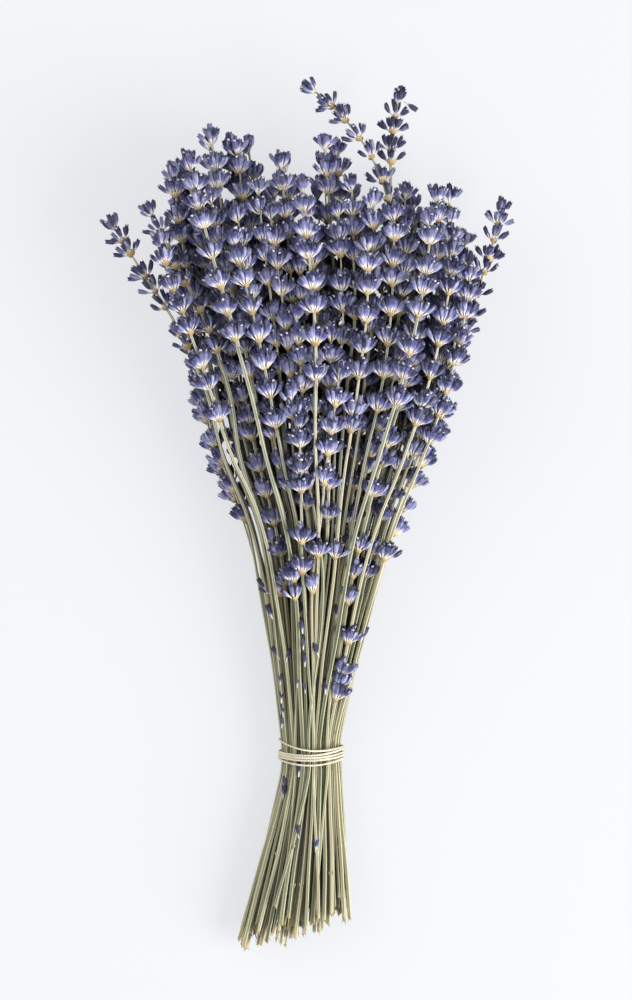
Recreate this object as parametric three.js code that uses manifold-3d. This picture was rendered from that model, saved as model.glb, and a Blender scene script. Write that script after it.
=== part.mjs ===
// A bunch of dried lavender lying on a surface, its stems bound with a few turns of raffia.
// Millimetres. X runs across the bunch, Y from the cut ends to the flower spikes, Z up from the
// surface. The bunch is laid out round the middle of the binding and moved to its origin at the end.
//
// Each stem has a place in the binding, where the stems lie in flat layers pressed side by side.
// From there the stems fan out both ways. Above the binding they are pushed apart until every
// flower spike has room, and the florets of a spike stop halfway to the spikes beside it.

import * as THREE from 'three';
import { mergeVertices } from 'three/addons/utils/BufferGeometryUtils.js';
import Module from 'manifold-3d';

const wasm = await Module();
wasm.setup();

// Driving dimensions.
const stemWidth = 2.2; // a square stem, across its flats, in the binding
const stemTaper = 0.82; // its width under the flowers, as a share of that
const taperLength = 150; // over which it narrows, above the binding
const stemPitch = 2.1; // between stems pressed together in one layer
const stemLap = 0.02; // added to each side of a stem, so that those of a layer are one solid
const stemClear = 0.04; // taken off it above and below
const cornerShare = 0.68; // how far its corners reach, as a share of its width
const layerCounts = [5, 9, 12, 13, 13, 12, 9, 5]; // stems in each layer, from the surface up
const bindingReach = 10; // the stems run straight this far on both sides of the binding's middle

const strandWidth = 0.8; // the raffia, across and thick
const strandGap = 0.42; // between the raffia and the outermost stems
const stemsHalfWidth = 14.2; // of the ellipse that just holds the stems in the binding
const stemsHalfDepth = 10.75;

const cutLeft = -88; // how far below the binding the stems on the left are cut
const cutRight = -74; // and on the right
const cutSpread = 12; // how unevenly they are cut
const cutBelow = 0.35; // the share of that which is below the line of the cut
const cutShake = 1.2; // how far out of line the stems lie below the binding
const leastStretch = 6; // the lowest straight stretch of a stem is at least this long
const lastStretch = 8; // and the highest

const spikeLength = [74, 96]; // shortest and longest flower spike
const layerTips = [180, 207, 236, 264, 260, 214]; // how high the tips of the lower layers end
const layerSpread = [14, 22, 30, 24, 26, 42]; // and how far a tip stands from its neighbour's
const leastUneven = 0.7; // the least share of that distance
const tipSideDrop = 14; // how much lower the spikes at the sides end
const wander = { u: 0.1, v: 0.12 }; // how far a stem strays from its place in the fan
const outerShare = 0.72; // stems further out than this, of 1, are on the outside of the bunch
const whorlRadius = 7; // from the middle of a spike to the tips of its lowest florets
const rachisRadius = 1.05; // the part of the stem inside a spike
const calyxGap = 0.4; // between florets of spikes that meet
const joinGap = 0.35; // between a stem and the spike on it
const whorlRatio = 0.92; // each whorl takes this much of the length that the one below it takes
const tipRise = 0.58; // how high the tips of the florets stand in their whorl's length
const notchRise = 0.3; // and the notches between them
const notchShare = 0.3; // how far out the notches are, as a share of the tips
const topWhorlShare = 0.62; // the size of the topmost whorl
const narrowingPower = 1.6; // the whorls narrow late, towards the top
const whorlUneven = 0.06; // how much larger or smaller than that a whorl may be
const budShare = 0.55; // the bud at the end of a spike, as a share of a whorl
const reachStep = 0.15; // florets are lengthened by this much until they meet something
const outerSpike = { florets: 4, whorls: 7 }; // spikes on the outside of the bunch
const innerSpike = { florets: 3, whorls: 6 }; // spikes inside it
const pairCount = 27; // spikes pressed together two by two inside the bunch
const leastShared = 30; // they run side by side for at least this length

const seed = 23;

// The fan of the bunch: at each height, the middle, the reach of the outermost stems to the sides,
// half the depth of the stems, and the height of the lowest stem over the surface.
const fan = [
  { y: -90, middle: -7.8, halfWidth: 26.5, halfDepth: 9.6, lowest: 1.1 },
  { y: -10, middle: 0, halfWidth: 12.6, halfDepth: 8.75, lowest: 3.075 },
  { y: 10, middle: 0, halfWidth: 12.6, halfDepth: 8.75, lowest: 3.075 },
  { y: 80, middle: 4.2, halfWidth: 25, halfDepth: 14.2, lowest: 3.2 },
  { y: 110, middle: 5, halfWidth: 32.5, halfDepth: 17, lowest: 5.2 },
  { y: 140, middle: 5, halfWidth: 44.5, halfDepth: 20, lowest: 5.8 },
  { y: 170, middle: 6, halfWidth: 53, halfDepth: 22, lowest: 6 },
  { y: 200, middle: 6, halfWidth: 60, halfDepth: 23.5, lowest: 6 },
  { y: 230, middle: 4, halfWidth: 65, halfDepth: 23.5, lowest: 6.5 },
  { y: 260, middle: 2, halfWidth: 68, halfDepth: 22, lowest: 8 },
  { y: 290, middle: 0, halfWidth: 70, halfDepth: 19, lowest: 11 },
  { y: 320, middle: 0, halfWidth: 71, halfDepth: 16, lowest: 14 },
];

// The outline of the head, seen from above: X, and the highest that a spike inside it may end there.
const topLine = [
  [-70, 268], [-56, 276], [-48, 288], [-30, 288], [-24, 265], [-18, 265], [-12, 277],
  [-5, 268], [3, 288], [14, 280], [20, 262], [56, 262], [64, 245], [72, 222],
];

// Spikes that stand out of the bunch, by layer and place in it. Each has the height of its tip, its
// length, and the points [x, y, z] that its stem passes on the way.
const strays = [
  { layer: 4, place: 0, tip: 246, length: 62, by: [[-52, 182, 36], [-91.5, 246, 30]] },
  { layer: 5, place: 0, tip: 252, length: 70, by: [[-40, 182, 46], [-74, 252, 40]] },
  { layer: 3, place: 12, tip: 254, length: 72, by: [[64, 182, 28], [88.5, 254, 24]] },
  {
    layer: 4, place: 7, tip: 308.5, length: 66,
    by: [[37, 235, 40], [33, 266, 42], [12, 299, 40], [-22, 325, 38]],
  },
  { layer: 4, place: 9, tip: 304, length: 34, by: [[38, 250, 30], [35, 272, 30], [41, 304, 32]] },
  { layer: 3, place: 2, tip: 274, length: 84, by: [[-57.5, 274, 26]] },
  { layer: 4, place: 3, tip: 287, length: 88, by: [[-47, 287, 36]] },
  { layer: 3, place: 4, tip: 284, length: 86, by: [[-32.5, 284, 24]] },
  { layer: 4, place: 5, tip: 275, length: 84, by: [[-13, 275, 38]] },
  { layer: 4, place: 6, tip: 284, length: 86, by: [[3.5, 284, 37]] },
  { layer: 3, place: 9, tip: 262, length: 84, by: [[45, 262, 26]] },
  { layer: 4, place: 11, tip: 259, length: 82, by: [[57, 259, 38]] },
  { layer: 5, place: 11, tip: 222, length: 80, by: [[66, 222, 44]] },
];

// The two layers on top, as they fall over the rest: the tips [x, y] and the lengths of their spikes.
const frontSpikes = {
  6: [[-65, 237, 86], [-47, 258, 90], [-23, 262, 92], [-15, 204, 90], [7, 196, 88], [19, 264, 94],
    [37, 250, 92], [45, 203, 88], [67, 234, 88]],
  7: [[-53, 272, 84], [-34, 238, 88], [-2, 262, 92], [25, 236, 94], [55, 247, 92]],
};
const frontRise = { 6: 1.75, 7: 2 }; // how high they lie there, in half depths of the fan

// The binding winds round from the back. Its height at each quarter turn: back, right, front, left.
const turns = [
  [-3.6, -1.6, -4.5, -2.8],
  [-2.1, -0.3, -2.2, -0.9],
  [-0.7, 0.9, -1.0, 0.3],
  [0.5, 2.2, 0.2, 1.6],
  [2.6, 4.1, 2.9, 6.6],
];
const lastTurnEnd = 3.8; // where the last turn comes back to the knot
const turnSteps = 20;
const knotQuarter = 0.5; // the knot is half a quarter turn before the back
const knotTurn = THREE.MathUtils.degToRad(135); // which way it faces there
const knotSize = { across: 1.5, beyond: 0.9, thick: 1.1 };
const knotOut = 0.3; // how far its middle stands off the strand, as a share of its thickness
const mergeDistance = 1e-4; // corners closer than this are one

// How the stems are pushed apart.
const settleRounds = 240;
const lastRounds = 70; // the rounds at the end, in which bends are hardly eased
const pushStrength = 0.25;
const leastApart = 0.01; // stems closer than this are pushed as if they were this far apart
const bendEase = 0.25; // how much of its bend a stem gives up in a round
const lastBendEase = 0.03; // and in the rounds at the end
const stemRoom = 1.7; // half the distance kept between two bare stems
const spikeRoom = 5.3; // half the distance kept between two spikes
const footBlend = 14; // over this height a spike takes up its room
const spikeFrom = 0.25; // with more than this share of it, it lies as high as the lowest spikes
const tipRoom = 4; // it keeps that room this far past its tip
const strayHold = 20; // strays keep to their lines from this far below their first point
const tipMargin = 3; // florets stay clear of another spike up to this far past its tip
const footMargin = 2; // and from this far below its foot

// Colours.
const stemColours = ['#a9a878', '#b3b083', '#9c9d70', '#b8b184'];
const spikeColours = ['#57527f', '#4e4a77', '#615c8c', '#5a5584', '#6a6594'];
const raffiaColour = '#e2d3ad';
const roughness = { raffia: 0.8, stem: 0.75, flower: 0.9 };

// What the draws below are used for.
const uses = { tip: 1, length: 2, cut: 3, wanderU: 4, wanderV: 5, shake: 6, turn: 7, whorl: 20 };

// A fixed draw between 0 and 1 for one stem and one use of it.
function draw(stem, use) {
  let bits = Math.imul(stem + 1, 0x9e3779b1) ^ Math.imul(use + seed, 0x85ebca6b);
  bits = Math.imul(bits ^ (bits >>> 15), 0x2c1b3c6d);
  bits = Math.imul(bits ^ (bits >>> 12), 0x297a2d39);
  return ((bits ^ (bits >>> 15)) >>> 0) / 2 ** 32;
}

function mix(a, b, share) {
  return a + (b - a) * share;
}

function clamp(value, low, high) {
  return Math.min(Math.max(value, low), high);
}

// The fan at any height, between the heights that are given.
function fanAt(y) {
  const next = clamp(fan.findIndex((row) => row.y > y), 1, fan.length - 1);
  const above = y >= fan[fan.length - 1].y ? fan.length - 1 : next;
  const [a, b] = [fan[above - 1], fan[above]];
  const share = (y - a.y) / (b.y - a.y);
  return {
    middle: mix(a.middle, b.middle, share),
    halfWidth: mix(a.halfWidth, b.halfWidth, share),
    halfDepth: mix(a.halfDepth, b.halfDepth, share),
    lowest: mix(a.lowest, b.lowest, share),
  };
}

// Where a place in the fan, from -1 to 1 across and up, lies at a height, and back.
function fromFan(u, v, y) {
  const at = fanAt(y);
  return { x: at.middle + u * at.halfWidth, z: at.lowest + at.halfDepth * (1 + v) };
}

function toFan([x, y, z]) {
  const at = fanAt(y);
  return { y, u: (x - at.middle) / at.halfWidth, v: (z - at.lowest) / at.halfDepth - 1 };
}

function frontSpike(layer, place) {
  if (!(layer in frontSpikes)) {
    return undefined;
  }
  const [x, y, length] = frontSpikes[layer][place];
  const at = fanAt(y);
  return { tip: y, length, by: [[x, y, at.lowest + at.halfDepth * frontRise[layer]]] };
}

// The highest that a spike may end, between the points of the outline.
function topAt(x) {
  const next = topLine.findIndex(([pointX]) => pointX > x);
  const above = next < 0 ? topLine.length - 1 : Math.max(next, 1);
  const [[lowX, lowTop], [highX, highTop]] = [topLine[above - 1], topLine[above]];
  return mix(lowTop, highTop, clamp((x - lowX) / (highX - lowX), 0, 1));
}

// A spike inside the bunch: its length, the height of its tip, and the one guide of its stem.
function insideSpike(id, layer, place, u, v) {
  const uneven = (place % 2 ? 1 : -1) * mix(leastUneven, 1, draw(id, uses.tip));
  const wanderedU = u + (draw(id, uses.wanderU) - 0.5) * wander.u;
  const wanderedV = clamp(v + (draw(id, uses.wanderV) - 0.5) * wander.v, -1, 1);
  const freeTip = layerTips[layer] - tipSideDrop * u * u + layerSpread[layer] * uneven;
  const tip = Math.min(freeTip, topAt(fromFan(wanderedU, wanderedV, freeTip).x));
  const length = mix(spikeLength[0], spikeLength[1], draw(id, uses.length));
  return { tip, length, guides: [{ y: tip, u: wanderedU, v: wanderedV }] };
}

// Every stem: its place in the binding, its heights, and the guides that it follows in the fan.
function makeStems() {
  const halfDepth = (layerCounts.length - 1) / 2;
  const halfWidth = ((Math.max(...layerCounts) - 1) / 2) * stemPitch;
  const stems = [];
  layerCounts.forEach((count, layer) => {
    for (let place = 0; place < count; place++) {
      const id = stems.length;
      const u = ((place - (count - 1) / 2) * stemPitch) / halfWidth;
      const v = (layer - halfDepth) / halfDepth;
      const stray = strays.find((one) => one.layer === layer && one.place === place);
      const own = stray ?? frontSpike(layer, place);
      const spike = own ? { ...own, guides: own.by.map(toFan) } : insideSpike(id, layer, place, u, v);
      const { tip, length, guides } = spike;
      const isStray = guides.length > 1;
      const cut = mix(cutLeft, cutRight, (u + 1) / 2) + cutSpread * (draw(id, uses.cut) - cutBelow);
      guides.unshift({ y: bindingReach, u, v });
      stems.push({ id, layer, u, v, tip, foot: tip - length, cut, guides, isStray });
    }
  });
  return stems;
}

// The line that a stem would follow with nothing in its way.
function freeLine(stem, y) {
  if (y <= bindingReach) {
    const shake = y < -bindingReach ? 1 : 0;
    const at = fromFan(stem.u, stem.v, y);
    at.x += shake * (draw(stem.id, uses.shake) - 0.5) * cutShake;
    return at;
  }
  const guides = stem.guides;
  const next = guides.findIndex((guide) => guide.y > y);
  if (next < 0 && !stem.isStray) {
    return fromFan(guides[guides.length - 1].u, guides[guides.length - 1].v, y);
  }
  const above = next < 0 ? guides.length - 1 : Math.max(next, 1);
  const [a, b] = [guides[above - 1], guides[above]];
  const share = (y - a.y) / (b.y - a.y);
  return fromFan(mix(a.u, b.u, share), mix(a.v, b.v, share), y);
}

// The room that a stem keeps round it at a height: more within its spike, none past its tip.
function roomAt(stem, y) {
  if (y > stem.tip + tipRoom) {
    return 0;
  }
  const inSpike = clamp((y - stem.foot) / footBlend + 0.5, 0, 1);
  return mix(stemRoom, spikeRoom, inSpike);
}

// Push the stems apart at the heights of the fan and halfway between them, and ease their bends.
function settle(stems) {
  const heights = fan.map((row) => row.y);
  const top = heights.length - 1;
  const levels = heights.flatMap((y, h) => (
    [{ low: h, high: h, share: 0 }, { low: h, high: h + 1, share: 0.5 }]));
  const open = levels.filter(({ low, high, share }) => (
    high <= top && mix(heights[low], heights[high], share) > bindingReach));
  const line = stems.map((stem) => heights.map((y) => freeLine(stem, y)));
  const moved = stems.map(() => heights.map(() => ({ x: 0, z: 0 })));
  const held = stems.map((stem) => heights.map((y) => (
    y <= bindingReach || (stem.isStray && y >= stem.guides[1].y - strayHold))));
  const rooms = open.map(({ low, high, share }) => (
    stems.map((stem) => roomAt(stem, mix(heights[low], heights[high], share)))));
  const placeOf = (i, { low, high, share }, axis) => mix(
    line[i][low][axis] + moved[i][low][axis], line[i][high][axis] + moved[i][high][axis], share);

  for (let round = 0; round < settleRounds; round++) {
    const push = stems.map(() => heights.map(() => ({ x: 0, z: 0 })));
    open.forEach((level, k) => {
      const { low, high, share } = level;
      const places = stems.map((stem, i) => [placeOf(i, level, 'x'), placeOf(i, level, 'z')]);
      for (let i = 0; i < stems.length; i++) {
        for (let j = i + 1; j < stems.length; j++) {
          const need = rooms[k][i] + rooms[k][j];
          const dx = places[j][0] - places[i][0];
          const dz = places[j][1] - places[i][1];
          const apart = Math.hypot(dx, dz);
          if (apart >= need || rooms[k][i] === 0 || rooms[k][j] === 0) {
            continue;
          }
          const strength = (pushStrength * (need - apart)) / Math.max(apart, leastApart);
          for (const [stem, way] of [[i, -strength], [j, strength]]) {
            push[stem][low].x += way * dx * (1 - share);
            push[stem][low].z += way * dz * (1 - share);
            push[stem][high].x += way * dx * share;
            push[stem][high].z += way * dz * share;
          }
        }
      }
    });
    const easing = round < settleRounds - lastRounds ? bendEase : lastBendEase;
    const before = moved.map((row) => row.map((one) => ({ ...one })));
    stems.forEach((stem, i) => heights.forEach((y, h) => {
      if (held[i][h]) {
        return;
      }
      for (const axis of ['x', 'z']) {
        const smooth = (before[i][h - 1][axis] + before[i][Math.min(h + 1, top)][axis]) / 2;
        moved[i][h][axis] += easing * (smooth - before[i][h][axis]) + push[i][h][axis];
      }
      const isSpike = roomAt(stem, y) > mix(stemRoom, spikeRoom, spikeFrom);
      const floor = isSpike ? fan[h].lowest : stemWidth / 2;
      moved[i][h].z = Math.max(moved[i][h].z, floor - line[i][h].z);
    }));
  }
  stems.forEach((stem, i) => {
    stem.points = heights.map((y, h) => (
      new THREE.Vector3(line[i][h].x + moved[i][h].x, y, line[i][h].z + moved[i][h].z)));
  });
}

// The middle of a stem at a height, on one smooth curve through its points.
function curveAt(stem, y) {
  const points = stem.points;
  let k = 0;
  while (k < points.length - 2 && points[k + 1].y <= y) {
    k++;
  }
  const [a, b] = [points[k], points[k + 1]];
  const slope = (m) => {
    const [low, high] = [points[Math.max(m - 1, 0)], points[Math.min(m + 1, points.length - 1)]];
    return high.clone().sub(low).divideScalar(high.y - low.y);
  };
  const span = b.y - a.y;
  const t = (y - a.y) / span;
  const at = a.clone().multiplyScalar(2 * t ** 3 - 3 * t ** 2 + 1);
  at.addScaledVector(slope(k), span * (t ** 3 - 2 * t ** 2 + t));
  at.addScaledVector(b, 3 * t ** 2 - 2 * t ** 3);
  at.addScaledVector(slope(k + 1), span * (t ** 3 - t ** 2));
  return new THREE.Vector3(at.x, y, Math.max(at.z, stemWidth / 2));
}

// The bare stem has straight stretches between these heights.
function bareHeights(stem) {
  const [lowest, highest] = [stem.cut + leastStretch, stem.foot - lastStretch];
  return [stem.cut, ...fan.map((row) => row.y).filter((y) => y > lowest && y < highest), stem.foot];
}

function bareAt(stem, y) {
  const heights = stem.bare.map((point) => point.y);
  const above = clamp(heights.findIndex((height) => height > y), 1, heights.length - 1);
  const [a, b] = [stem.bare[above - 1], stem.bare[above]];
  return a.clone().lerp(b, (y - a.y) / (b.y - a.y));
}

function middleAt(stem, y) {
  return y > stem.foot ? curveAt(stem, y) : bareAt(stem, y);
}

// A closed skin over rings of points. Each band joins two rings, and each end is a point or is flat.
class Skin {
  constructor() {
    this.points = [];
    this.faces = [];
  }

  ring(points) {
    const first = this.points.length;
    this.points.push(...points);
    return points.map((point, k) => first + k);
  }

  face(a, b, c) {
    this.faces.push(a, b, c);
  }

  // Both rings have the same number of points, seen turning left from the far end.
  band(low, high) {
    low.forEach((corner, k) => {
      const next = (k + 1) % low.length;
      this.face(corner, low[next], high[next]);
      this.face(corner, high[next], high[k]);
    });
  }

  flatEnd(ring, isFar) {
    for (let k = 1; k < ring.length - 1; k++) {
      if (isFar) {
        this.face(ring[0], ring[k], ring[k + 1]);
      } else {
        this.face(ring[0], ring[k + 1], ring[k]);
      }
    }
  }

  point(ring, tip) {
    const [last] = this.ring([tip]);
    ring.forEach((corner, k) => this.face(corner, ring[(k + 1) % ring.length], last));
  }

  solid() {
    return new wasm.Manifold(new wasm.Mesh({
      numProp: 3,
      vertProperties: new Float32Array(this.points.flatMap((point) => point.toArray())),
      triVerts: new Uint32Array(this.faces),
    }));
  }
}

// A bare stem: square in section, its flats level and upright where the stems are pressed together.
function stemSolid(stem) {
  const skin = new Skin();
  const rings = stem.bare.map((middle) => {
    const narrowed = clamp((middle.y - bindingReach) / taperLength, 0, 1);
    const half = (stemWidth / 2) * mix(1, stemTaper, narrowed);
    const [wide, tall] = [half + stemLap, half - stemClear];
    const corners = [[-wide, -tall], [-wide, tall], [wide, tall], [wide, -tall]];
    return skin.ring(corners.map(([x, z]) => new THREE.Vector3(middle.x + x, middle.y, middle.z + z)));
  });
  skin.flatEnd(rings[0], false);
  rings.slice(1).forEach((ring, k) => skin.band(rings[k], ring));
  skin.flatEnd(rings[rings.length - 1], true);
  return skin.solid();
}

// Whether a point of a spike is clear of the surface and of every other stem and spike.
function isClear(stem, point, others) {
  const own = curveAt(stem, clamp(point.y, stem.foot, stem.tip));
  for (const other of others) {
    if (point.y > other.tip + tipMargin || point.y < other.cut) {
      continue;
    }
    const inSpike = point.y > other.foot - footMargin;
    const there = middleAt(other, Math.min(point.y, other.tip));
    const across = new THREE.Vector2(there.x - own.x, there.z - own.z);
    const apart = across.length();
    const reach = ((point.x - own.x) * across.x + (point.z - own.z) * across.y) / apart;
    const bareLimit = apart - stemWidth * cornerShare - calyxGap;
    const limit = inSpike ? apart / 2 - calyxGap / 2 : bareLimit;
    if (reach > Math.min(limit, bareLimit)) {
      return false;
    }
  }
  return point.z >= 0;
}

// Directions across a spike: level, and up.
function crossways(stem, y) {
  const along = curveAt(stem, y + 1).sub(curveAt(stem, y - 1)).normalize();
  const level = new THREE.Vector3(0, 0, 1).cross(along).normalize();
  return [level, along.cross(level)];
}

// The feet of a spike's whorls, closer together towards the tip, and the foot of the bud.
function whorlFeet(start, tip, whorls) {
  const lengths = Array.from({ length: whorls }, (_, whorl) => whorlRatio ** whorl);
  const total = lengths.reduce((sum, one) => sum + one, 0) + budShare * whorlRatio ** whorls;
  const feet = [start];
  lengths.forEach((one, whorl) => feet.push(feet[whorl] + (one / total) * (tip - start)));
  return feet;
}

// A spike: whorls of pointed florets up its rachis, each whorl turned half a floret from the last.
// Where two spikes are pressed together, one floret reaches into the other spike, linkTo.
function spikeSolid(stem, others, florets, whorls, linkTo) {
  const skin = new Skin();
  const lean = curveAt(stem, stem.foot + 1).sub(curveAt(stem, stem.foot));
  const start = stem.foot + joinGap + rachisRadius * Math.hypot(lean.x, lean.z);
  const feet = whorlFeet(start, stem.tip, whorls);
  const half = Math.PI / florets;

  const placeAt = (y, turn, radius) => {
    const [level, up] = crossways(stem, y);
    const at = curveAt(stem, y).addScaledVector(level, radius * Math.cos(turn));
    return at.addScaledVector(up, radius * Math.sin(turn));
  };
  const reachAt = (y, turn, wanted) => {
    let radius = rachisRadius;
    while (radius < wanted && isClear(stem, placeAt(y, turn, radius + reachStep), others)) {
      radius += reachStep;
    }
    return radius;
  };
  const rachisRing = (y, turn) => {
    const turns = Array.from({ length: florets }, (_, k) => turn + 2 * half * k);
    return skin.ring(turns.map((one) => placeAt(y, one, rachisRadius)));
  };

  let firstTurn = draw(stem.id, uses.turn) * 2 * half;
  let linkWhorl = -1;
  if (linkTo) {
    const shared = (Math.max(stem.foot, linkTo.foot) + Math.min(stem.tip, linkTo.tip)) / 2;
    linkWhorl = clamp(feet.findIndex((foot) => foot > shared) - 1, 0, whorls - 1);
    const y = mix(feet[linkWhorl], feet[linkWhorl + 1], tipRise);
    const [level, up] = crossways(stem, y);
    const across = curveAt(linkTo, y).sub(curveAt(stem, y));
    firstTurn = Math.atan2(across.dot(up), across.dot(level)) - linkWhorl * half;
  }

  let ring = rachisRing(start, firstTurn);
  skin.flatEnd(ring, false);
  for (let whorl = 0; whorl < whorls; whorl++) {
    const [foot, nextFoot] = [feet[whorl], feet[whorl + 1]];
    const turn = firstTurn + whorl * half;
    const narrowing = mix(1, topWhorlShare, (whorl / (whorls - 1)) ** narrowingPower);
    const uneven = mix(-whorlUneven, whorlUneven, draw(stem.id, uses.whorl + whorl));
    const size = whorlRadius * narrowing * (1 + uneven);
    const star = [];
    for (let k = 0; k < florets; k++) {
      const tipTurn = turn + 2 * half * k;
      const tipHeight = mix(foot, nextFoot, tipRise);
      const notchHeight = mix(foot, nextFoot, notchRise);
      const isLink = whorl === linkWhorl && k === 0;
      const tipAt = placeAt(tipHeight, tipTurn, reachAt(tipHeight, tipTurn, size));
      star.push(isLink ? curveAt(linkTo, tipHeight) : tipAt);
      const notchReach = reachAt(notchHeight, tipTurn + half, size * notchShare);
      star.push(placeAt(notchHeight, tipTurn + half, notchReach));
    }
    const petals = skin.ring(star);
    const top = rachisRing(nextFoot, turn + half);
    for (let k = 0; k < florets; k++) {
      const next = (k + 1) % florets;
      const [tip, notch, tipNext] = [petals[2 * k], petals[2 * k + 1], petals[2 * next]];
      const notchBefore = petals[(2 * k + 2 * florets - 1) % (2 * florets)];
      skin.face(ring[k], tip, notchBefore);
      skin.face(ring[k], notch, tip);
      skin.face(ring[k], ring[next], notch);
      skin.face(tip, notch, top[k]);
      skin.face(notch, tipNext, top[k]);
      skin.face(top[k], tipNext, top[next]);
    }
    ring = top;
  }
  skin.point(ring, curveAt(stem, stem.tip));
  return skin.solid();
}

// The raffia: one strand wound round the stems, both ends in a small knot at the back.
function bindingSolid() {
  const quarters = [...turns.flat(), lastTurnEnd];
  const quarterAt = (k) => quarters[clamp(k, 0, quarters.length - 1)];
  const heightAt = (quarter) => {
    const k = Math.floor(quarter);
    const t = quarter - k;
    const [a, b, c, d] = [quarterAt(k - 1), quarterAt(k), quarterAt(k + 1), quarterAt(k + 2)];
    const bend = (2 * a - 5 * b + 4 * c - d) * t * t + (3 * b - a - 3 * c + d) * t ** 3;
    return (2 * b + (c - a) * t + bend) / 2;
  };
  const middleHeight = fanAt(0).lowest + fanAt(0).halfDepth;
  const around = (quarter, outward, y) => {
    const turn = (quarter - 1) * (Math.PI / 2);
    const wide = stemsHalfWidth + strandGap + strandWidth / 2;
    const deep = stemsHalfDepth + strandGap + strandWidth / 2;
    const out = new THREE.Vector2(Math.cos(turn) * deep, Math.sin(turn) * wide).normalize();
    return new THREE.Vector3(
      wide * Math.cos(turn) + outward * out.x, y, middleHeight + deep * Math.sin(turn) + outward * out.y);
  };
  const skin = new Skin();
  const half = strandWidth / 2;
  const [first, last] = [-knotQuarter, turns.length * 4 - knotQuarter];
  const steps = turns.length * turnSteps;
  const rings = Array.from({ length: steps + 1 }, (_, step) => {
    const quarter = mix(first, last, step / steps);
    const y = heightAt(quarter);
    const corners = [[-half, -half], [half, -half], [half, half], [-half, half]];
    return skin.ring(corners.map(([outward, along]) => around(quarter, outward, y + along)));
  });
  skin.flatEnd(rings[0], false);
  rings.slice(1).forEach((ring, k) => skin.band(rings[k], ring));
  skin.flatEnd(rings[rings.length - 1], true);

  const knot = new THREE.IcosahedronGeometry(1, 0);
  knot.deleteAttribute('normal');
  knot.deleteAttribute('uv');
  const merged = mergeVertices(knot, mergeDistance);
  const [start, end] = [heightAt(first), heightAt(last)];
  merged.scale(knotSize.across, (end - start) / 2 + knotSize.beyond, knotSize.thick);
  merged.rotateY(-knotTurn);
  const at = around(first, half + knotSize.thick * knotOut, (start + end) / 2);
  merged.translate(at.x, at.y, at.z);
  const lump = new wasm.Manifold(new wasm.Mesh({
    numProp: 3,
    vertProperties: new Float32Array(merged.attributes.position.array),
    triVerts: new Uint32Array(merged.index.array),
  }));
  return skin.solid().add(lump);
}

// The spikes that are pressed together: the nearest two each time, away from the strays.
function pairUp(stems) {
  const couples = [];
  stems.forEach((one, i) => stems.slice(i + 1).forEach((other) => {
    const low = Math.max(one.foot, other.foot);
    const high = Math.min(one.tip, other.tip);
    if (one.isStray || other.isStray || high - low < leastShared) {
      return;
    }
    const middle = (low + high) / 2;
    couples.push({ one, other, apart: curveAt(one, middle).distanceTo(curveAt(other, middle)) });
  }));
  couples.sort((a, b) => a.apart - b.apart);
  const taken = new Set();
  return couples.filter(({ one, other }) => {
    if (taken.size >= 2 * pairCount || taken.has(one) || taken.has(other)) {
      return false;
    }
    taken.add(one).add(other);
    return true;
  });
}

function isOuter(stem) {
  return Math.hypot(stem.u, stem.v) > outerShare || stem.isStray;
}

function madeSpike(stem, stems, linkTo) {
  const { florets, whorls } = isOuter(stem) ? outerSpike : innerSpike;
  const others = stems.filter((other) => other !== stem);
  return spikeSolid(stem, others, florets, whorls, linkTo);
}

const bunch = new THREE.Group();

function addMesh(name, solid, material) {
  const { vertProperties, triVerts } = solid.getMesh();
  const geometry = new THREE.BufferGeometry();
  geometry.setAttribute('position', new THREE.BufferAttribute(vertProperties, 3));
  geometry.setIndex(new THREE.BufferAttribute(triVerts, 1));
  geometry.computeVertexNormals();
  const mesh = new THREE.Mesh(geometry, material);
  mesh.name = name;
  bunch.add(mesh);
}

function finish(colours, k, material) {
  return new THREE.MeshStandardMaterial({
    color: colours[k % colours.length], roughness: roughness[material], metalness: 0,
  });
}

const stems = makeStems();
settle(stems);
stems.forEach((stem) => {
  stem.bare = bareHeights(stem).map((y) => curveAt(stem, y));
});

addMesh('binding', bindingSolid(), finish([raffiaColour], 0, 'raffia'));

layerCounts.forEach((count, layer) => {
  const solids = stems.filter((stem) => stem.layer === layer).map(stemSolid);
  const pressed = solids.reduce((joined, solid) => joined.add(solid));
  addMesh(`stems_${layer + 1}`, pressed, finish(stemColours, layer, 'stem'));
});

const couples = pairUp(stems);
couples.forEach(({ one, other }, k) => {
  const pair = madeSpike(one, stems, other).add(madeSpike(other, stems));
  addMesh(`spikes_${one.id}_${other.id}`, pair, finish(spikeColours, k, 'flower'));
});
const coupled = new Set(couples.flatMap(({ one, other }) => [one, other]));
stems.filter((stem) => !coupled.has(stem)).forEach((stem, k) => {
  addMesh(`spike_${stem.id}`, madeSpike(stem, stems), finish(spikeColours, k, 'flower'));
});

// The origin is under the middle of the bunch, on the surface.
const box = new THREE.Box3().setFromObject(bunch);
const middle = box.getCenter(new THREE.Vector3());
bunch.position.set(-middle.x, -middle.y, -box.min.z);

export default bunch;
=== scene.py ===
import math
import random

import bmesh
import bpy
import numpy as np
from mathutils import Matrix, Vector


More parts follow.
